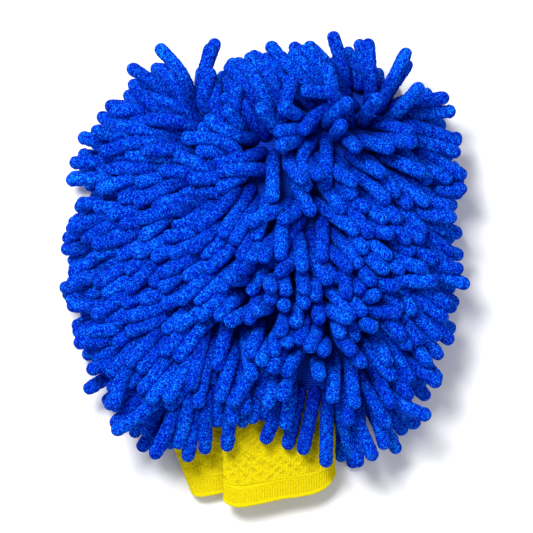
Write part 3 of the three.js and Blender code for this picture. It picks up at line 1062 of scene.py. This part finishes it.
SEAM_RADIUS = 1.1
WRIST_SEAM_RADIUS = 1.3
SEAMS = [
    ("palm_seam_left", "overlock_palm_left", seam_path(-1, WRIST_Y + 2, KNUCKLE_Y), "thumb"),
    ("palm_seam_right", "overlock_palm_right", seam_path(1, WRIST_Y + 2, KNUCKLE_Y), "fingers"),
    ("finger_seam", "overlock_fingers", lobe_seam_path(1, LOBES["finger"]["tip"]), "fingers"),
    ("thumb_seam", "overlock_thumb", lobe_seam_path(-1, LOBES["thumb"]["tip"]), "thumb"),
]
for node, name, path, body in SEAMS:
    piece = cord_mesh(name, path, SEAM_RADIUS)
    piece.data.materials.append(seam_thread)
    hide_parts(node)
    follow_fold(piece)

# Cuff ------

# The flattened, pleated section near the hem, going round once: across, up, and where the hem ends.
PLEATED = [
    (-42.0, 0.0, -124.0), (-38.5, 2.6, -125.6), (-30.0, 3.0, -124.6), (-20.0, 3.0, -122.4),
    (-10.0, 3.2, -121.5), (-6.0, 4.6, -122.0), (-10.0, 6.0, -123.5), (-20.0, 6.6, -125.5),
    (-24.6, 8.0, -127.5), (-22.0, 9.8, -130.5), (-15.0, 10.8, -132.0), (-4.0, 11.2, -130.2),
    (8.0, 11.0, -127.6), (18.0, 10.4, -126.2), (27.0, 9.2, -124.0), (34.0, 6.8, -119.5),
    (37.2, 3.4, -113.5), (33.0, 0.2, -116.0), (18.0, -1.6, -120.0), (-10.0, -2.2, -121.0),
    (-32.0, -2.0, -122.5), (-40.0, -1.4, -123.5),
]
CUFF_COLUMNS = 700
CUFF_LENGTH = 54.0
HEM_BAND = 10.0
HEM_SHARE = 1 - HEM_BAND / CUFF_LENGTH
RIB_PITCH = 1.45
COURSE_PITCH = 1.15
KNIT_WALL = 1.1
SEWN_ON_Y = WRIST_Y + 1.5
OVAL_HALF_HEIGHT = 8.5


def closed_curve(points, count):
    """An evenly spaced smooth closed curve through the points."""
    points = np.array(points, float)
    size = len(points)
    t = np.linspace(0, size, 4000, endpoint=False)
    i = t.astype(int)
    f = (t - i)[:, None]
    curve = spline(*(points[(i + k) % size] for k in (-1, 0, 1, 2)), f)
    looped = np.vstack([curve, curve[:1]])
    steps = np.linalg.norm(np.diff(looped[:, :2], axis=0), axis=1)
    far = np.concatenate([[0], np.cumsum(steps)])
    even = np.linspace(0, far[-1], count, endpoint=False)
    return np.stack([np.interp(even, far, looped[:, k]) for k in range(points.shape[1])], -1), far[-1]


def wrist_oval(count):
    """The round section where the cuff is sewn on, starting from its left end like the pleated one."""
    angle = np.linspace(math.pi, -math.pi, 400, endpoint=False)
    across = CUFF_TOP_HALF_WIDTH * np.sign(np.cos(angle)) * np.abs(np.cos(angle)) ** 0.8
    up = OVAL_HALF_HEIGHT * np.sign(np.sin(angle)) * np.abs(np.sin(angle)) ** 0.8
    return closed_curve(np.stack([CUFF_MIDDLE_X + across, up], -1), count)[0]


def cuff_surface(down):
    """Points of the cuff at distances below the wrist seam, as a share of the way to the hem."""
    section, girth = closed_curve(PLEATED, CUFF_COLUMNS)
    oval = wrist_oval(CUFF_COLUMNS)
    settle = smooth(down, 0.05, 0.45)[:, None]
    flare = 22 * (1 - down)[:, None] * smooth(-section[None, :, 0], 22, 42)
    x = oval[None, :, 0] * (1 - settle) + (section[None, :, 0] - flare) * settle
    up = oval[None, :, 1] * (1 - settle) + section[None, :, 1] * settle
    y = SEWN_ON_Y + (section[None, :, 2] - SEWN_ON_Y) * down[:, None]
    around = np.arange(CUFF_COLUMNS) * girth / CUFF_COLUMNS
    wave = 0.7 * np.sin(around / 11.0 + 2.0) * np.sin(down * 7.0)[:, None]
    z = cuff_base(y) + up + wave * settle
    to_hem = np.abs(section[None, :, 2] - SEWN_ON_Y) * (1 - down[:, None])
    return np.stack([x, y, z], -1), around, to_hem


def knit_relief(around, to_hem):
    """Rolled edge, ribs, welt and crinkled diamond knit, as a height over the cuff's surface."""
    s = np.broadcast_to(around[None], to_hem.shape)
    edge = 0.30 * np.sin(np.clip(to_hem / 1.9, 0, 1) * math.pi)
    banded = smooth(to_hem, 1.4, 2.4) * (1 - smooth(to_hem, 8.6, 9.8))
    ribs = 0.28 * np.cos(2 * math.pi * s / RIB_PITCH) * banded
    welt = 0.35 * np.exp(-((to_hem - 10.6) / 0.8) ** 2)
    above = smooth(to_hem, 11.0, 12.5)
    wander = 1.9 * np.sin(s / 6.1 + to_hem / 9.0) + 1.7 * np.sin(to_hem / 3.7 + s / 11.0)
    other = 1.8 * np.sin(s / 4.9 - to_hem / 6.0) + 1.2 * np.sin(to_hem / 2.9)
    rising, falling = s + 1.2 * to_hem + wander, s - 1.2 * to_hem - other
    diamond = np.maximum(np.cos(2 * math.pi * rising / 8.5), np.cos(2 * math.pi * falling / 8.0)) - 0.4
    courses = 0.13 * np.sin(2 * math.pi * to_hem / COURSE_PITCH + 0.8 * np.sin(s / 2.3))
    wales = 0.12 * np.cos(2 * math.pi * s / RIB_PITCH)
    lumps = np.sin(2 * math.pi * (s + 0.7 * wander) / 3.1) * np.sin(2 * math.pi * (to_hem - wander) / 2.7)
    crinkle = above * (0.26 * diamond + 0.17 * lumps + courses + wales)
    nap = random.normal(0, 1, to_hem.shape)
    nap = 0.5 * nap + 0.25 * (np.roll(nap, 1, 1) + np.roll(nap, -1, 1))
    return edge + ribs + welt + crinkle + (0.06 + 0.12 * above) * nap


def cuff_piece(name, down, node):
    """One part of the cuff as a closed tube with a coarse inner face."""
    points, around, to_hem = cuff_surface(down)
    across = np.roll(points, -1, 1) - np.roll(points, 1, 1)
    along = np.gradient(points, axis=0)
    normal = unit(np.cross(along, across))
    relief = knit_relief(around, to_hem)
    outer = points + normal * relief[..., None]
    inner = points - normal * KNIT_WALL
    rows = len(down)
    index = np.arange(rows * CUFF_COLUMNS).reshape(rows, CUFF_COLUMNS)
    nexts = np.roll(index, -1, 1)
    under_rows = np.unique(np.linspace(0, rows - 1, min(rows, 9)).astype(int))
    inner = inner[under_rows]
    shift = rows * CUFF_COLUMNS
    low = np.arange(len(under_rows) * CUFF_COLUMNS).reshape(-1, CUFF_COLUMNS) + shift
    low_next = np.roll(low, -1, 1)
    under = np.stack([low[:-1], low[1:], low_next[1:], low_next[:-1]], -1).reshape(-1, 4)
    top = np.stack([index[0], low[0], low_next[0], nexts[0]], -1)
    bottom = np.stack([index[-1], nexts[-1], low_next[-1], low[-1]], -1)
    faces = np.concatenate([band_faces(index), under, top, bottom])[:, ::-1]
    piece = make_mesh(name, np.concatenate([outer.reshape(-1, 3), inner.reshape(-1, 3)]), faces)
    # The relief height is kept for the material, which paints the grooves darker as shade and the ridges
    # lighter as highlight.
    raised = np.clip(0.5 + 0.75 * relief.ravel(), 0, 1)
    add_attribute(piece.data, "relief", np.concatenate([raised, np.full(inner.size // 3, 0.5)]))
    piece.data.materials.append(cuff_yellow)
    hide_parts(node)
    follow_wrist(piece)


cuff_piece("cuff_body", np.linspace(0, HEM_SHARE - 0.002, 118), "cuff_knit")
cuff_piece("cuff_rib_band", np.linspace(HEM_SHARE, 1.0, 30), "cuff_hem")

ring = [(x, SEWN_ON_Y, MID_Z + up) for x, up in wrist_oval(300)]
wrist_seam = cord_mesh("wrist_overlock", ring, WRIST_SEAM_RADIUS, closed=True)
wrist_seam.data.materials.append(seam_thread)
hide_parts("wrist_seam")
follow_wrist(wrist_seam)

# Stage, light and camera ------

FRAME_WIDTH = 0.296
CAMERA_DISTANCE = 1.5
CAMERA_ELEVATION = math.radians(80)
CAMERA_SHIFT = (-0.0008, 0.0005)
FLOOR_HALF = 3.0


def add_stage():
    mesh = bpy.data.meshes.new("floor")
    corners = [(FLOOR_HALF * x, FLOOR_HALF * y, 0) for x, y in ((-1, -1), (1, -1), (1, 1), (-1, 1))]
    mesh.from_pydata(corners, [], [(0, 1, 2, 3)])
    floor = bpy.data.objects.new("floor", mesh)
    bpy.context.scene.collection.objects.link(floor)
    material = bpy.data.materials.new("floor")
    material.use_nodes = True
    shader = material.node_tree.nodes["Principled BSDF"]
    shader.inputs["Base Color"].default_value = (0.93, 0.93, 0.93, 1)
    shader.inputs["Roughness"].default_value = 0.9
    mesh.materials.append(material)


def add_light(name, place, size, power):
    light = bpy.data.lights.new(name, "AREA")
    light.energy = power
    light.size = size
    lamp = bpy.data.objects.new(name, light)
    lamp.location = place
    lamp.rotation_euler = (-lamp.location).to_track_quat("-Z", "Y").to_euler()
    bpy.context.scene.collection.objects.link(lamp)


def add_camera():
    data = bpy.data.cameras.new("camera")
    data.sensor_width = 36.0
    data.lens = 36.0 * CAMERA_DISTANCE / FRAME_WIDTH
    camera = bpy.data.objects.new("camera", data)
    camera.location = (
        CAMERA_SHIFT[0],
        CAMERA_SHIFT[1] - CAMERA_DISTANCE * math.cos(CAMERA_ELEVATION),
        MID_Z * MM + CAMERA_DISTANCE * math.sin(CAMERA_ELEVATION),
    )
    camera.rotation_euler = (math.pi / 2 - CAMERA_ELEVATION, 0, 0)
    bpy.context.scene.collection.objects.link(camera)
    bpy.context.scene.camera = camera


add_stage()
add_light("key", (-0.40, 0.42, 1.30), 0.50, 22.8)
add_light("fill", (0.7, -0.9, 1.0), 1.0, 4)
world = bpy.data.worlds.new("studio")
world.use_nodes = True
background = world.node_tree.nodes["Background"]
background.inputs["Color"].default_value = (0.95, 0.97, 1.0, 1)
background.inputs["Strength"].default_value = 0.42
bpy.context.scene.world = world
bpy.context.scene.view_settings.view_transform = "Standard"
add_camera()
